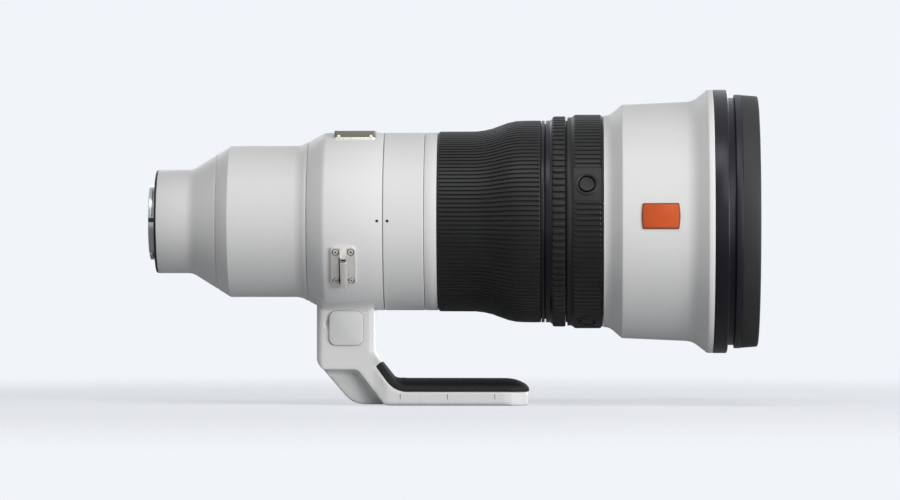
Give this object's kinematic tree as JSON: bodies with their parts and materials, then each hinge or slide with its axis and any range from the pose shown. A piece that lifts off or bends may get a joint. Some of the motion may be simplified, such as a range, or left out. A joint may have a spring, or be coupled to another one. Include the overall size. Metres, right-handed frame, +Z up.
{
  "type": "super telephoto lens",
  "caption": "White super telephoto lens with bayonet mount, rotating tripod collar and foot, ribbed focus ring, hold buttons, drop-in filter and moving optical groups.",
  "frame": {"origin": "centre of the mount flange's face, on the optical axis", "axes": "+X along the optical axis to the front, +Z up, the foot hangs at -Z, the right side faces -Y"},
  "size_m": [0.3642, 0.1578, 0.1889],
  "materials": {
    "white_paint": "satin",
    "black_metal": "satin",
    "black_plastic": "matte",
    "grey_plastic": "satin",
    "rubber": "matte",
    "chrome": "polished",
    "steel": "satin",
    "gold": "polished",
    "glass": "polished",
    "board": "satin",
    "blank_plate": "satin",
    "accent": "gloss"
  },
  "bodies": {
    "barrel": {"bayonet": "chrome", "mount_seal": "rubber", "mount_screws": "steel", "contact_block": "black_plastic", "contact_pins": "gold", "rear_barrel": "white_paint", "rear_cell": "black_metal", "rear_element": "glass", "main_board": "board", "filter_housing": "white_paint", "collar_journal": "black_metal", "stabiliser_base": "black_metal", "iris_housing": "black_metal", "iris_blades": "black_metal", "switch_barrel": "white_paint", "switch_panel": "black_plastic", "spacer_ring": "white_paint", "grip_tube": "black_metal", "guide_rods": "steel", "button_ring": "black_metal", "button_grip": "rubber", "front_barrel": "white_paint", "accent_badge": "accent", "group_cell": "black_metal", "group_elements": "glass", "hood_stop_ring": "black_metal", "front_ring": "black_metal", "front_bumper": "rubber", "front_element": "glass"},
    "collar": {"collar_ring": "white_paint", "name_plate": "blank_plate", "strap_lugs": "steel", "foot": "white_paint", "foot_pad": "rubber", "foot_cap": "white_paint"},
    "lock_knob": {"lock_knob": "black_plastic"},
    "focus_ring": {"focus_sleeve": "black_metal", "focus_grip": "rubber"},
    "function_ring": {"function_ring": "black_metal", "function_grip": "rubber"},
    "hold_button_right": {"hold_button_right": "rubber"},
    "hold_button_top": {"hold_button_top": "rubber"},
    "hold_button_left": {"hold_button_left": "rubber"},
    "hold_button_bottom": {"hold_button_bottom": "rubber"},
    "focus_mode_switch": {"focus_mode_switch": "grey_plastic"},
    "manual_override_switch": {"manual_override_switch": "grey_plastic"},
    "focus_limit_switch": {"focus_limit_switch": "grey_plastic"},
    "stabiliser_switch": {"stabiliser_switch": "grey_plastic"},
    "stabiliser_mode_switch": {"stabiliser_mode_switch": "grey_plastic"},
    "function_switch": {"function_switch": "grey_plastic"},
    "set_button": {"set_button": "grey_plastic"},
    "filter_holder": {"filter_holder": "black_plastic", "filter_glass": "glass"},
    "filter_release": {"filter_release": "steel"},
    "focus_group": {"focus_cell": "black_metal", "focus_element": "glass"},
    "stabiliser_frame": {"stabiliser_frame": "steel"},
    "stabiliser_cell": {"stabiliser_cell": "black_metal", "stabiliser_element": "glass"},
    "iris_ring": {"iris_ring": "steel"}
  },
  "joints": [
    {"name": "collar_turn", "type": "hinge", "parent": "barrel", "child": "collar", "pos_m": [0.0909, 0, 0], "axis": [1, 0, 0], "continuous": true},
    {"name": "lock_knob_turn", "type": "hinge", "parent": "collar", "child": "lock_knob", "pos_m": [0.11345, 0.017, -0.06402], "axis": [0, 1, 0], "range_deg": [0, 360]},
    {"name": "focus_ring_turn", "type": "hinge", "parent": "barrel", "child": "focus_ring", "pos_m": [0.1685, 0, 0], "axis": [1, 0, 0], "continuous": true},
    {"name": "function_ring_turn", "type": "hinge", "parent": "barrel", "child": "function_ring", "pos_m": [0.2328, 0, 0], "axis": [1, 0, 0], "range_deg": [-15, 15], "stiffness_Nm_per_rad": 0.2},
    {"name": "hold_right_press", "type": "slide", "parent": "barrel", "child": "hold_button_right", "axis": [0, 0.9397, -0.342], "range_m": [0, 0.0008], "stiffness_N_per_m": 800},
    {"name": "hold_top_press", "type": "slide", "parent": "barrel", "child": "hold_button_top", "axis": [0, -0.342, -0.9397], "range_m": [0, 0.0008], "stiffness_N_per_m": 800},
    {"name": "hold_left_press", "type": "slide", "parent": "barrel", "child": "hold_button_left", "axis": [0, -0.9397, 0.342], "range_m": [0, 0.0008], "stiffness_N_per_m": 800},
    {"name": "hold_bottom_press", "type": "slide", "parent": "barrel", "child": "hold_button_bottom", "axis": [0, 0.342, 0.9397], "range_m": [0, 0.0008], "stiffness_N_per_m": 800},
    {"name": "focus_mode_switch_slide", "type": "slide", "parent": "barrel", "child": "focus_mode_switch", "axis": [1, 0, 0], "range_m": [0, 0.003]},
    {"name": "manual_override_switch_slide", "type": "slide", "parent": "barrel", "child": "manual_override_switch", "axis": [1, 0, 0], "range_m": [0, 0.003]},
    {"name": "focus_limit_switch_slide", "type": "slide", "parent": "barrel", "child": "focus_limit_switch", "axis": [1, 0, 0], "range_m": [0, 0.003]},
    {"name": "stabiliser_switch_slide", "type": "slide", "parent": "barrel", "child": "stabiliser_switch", "axis": [1, 0, 0], "range_m": [0, 0.003]},
    {"name": "stabiliser_mode_switch_slide", "type": "slide", "parent": "barrel", "child": "stabiliser_mode_switch", "axis": [1, 0, 0], "range_m": [0, 0.003]},
    {"name": "function_switch_slide", "type": "slide", "parent": "barrel", "child": "function_switch", "axis": [1, 0, 0], "range_m": [0, 0.003]},
    {"name": "set_button_press", "type": "slide", "parent": "barrel", "child": "set_button", "axis": [0, -0.8387, 0.5446], "range_m": [0, 0.0005], "stiffness_N_per_m": 800},
    {"name": "filter_lift", "type": "slide", "parent": "barrel", "child": "filter_holder", "axis": [0, 0.5736, 0.8192], "range_m": [0, 0.058]},
    {"name": "filter_release_press", "type": "slide", "parent": "filter_holder", "child": "filter_release", "axis": [0, -0.5736, -0.8192], "range_m": [0, 0.001], "stiffness_N_per_m": 500},
    {"name": "focus_group_slide", "type": "slide", "parent": "barrel", "child": "focus_group", "axis": [1, 0, 0], "range_m": [-0.008, 0.008]},
    {"name": "stabiliser_tilt", "type": "slide", "parent": "barrel", "child": "stabiliser_frame", "axis": [0, 0, 1], "range_m": [-0.001, 0.001], "stiffness_N_per_m": 20000},
    {"name": "stabiliser_pan", "type": "slide", "parent": "stabiliser_frame", "child": "stabiliser_cell", "axis": [0, 1, 0], "range_m": [-0.001, 0.001], "stiffness_N_per_m": 20000},
    {"name": "iris_turn", "type": "hinge", "parent": "barrel", "child": "iris_ring", "pos_m": [0.118, 0, 0], "axis": [1, 0, 0], "range_deg": [0, 28], "deforming": ["iris_blades"]}
  ]
}
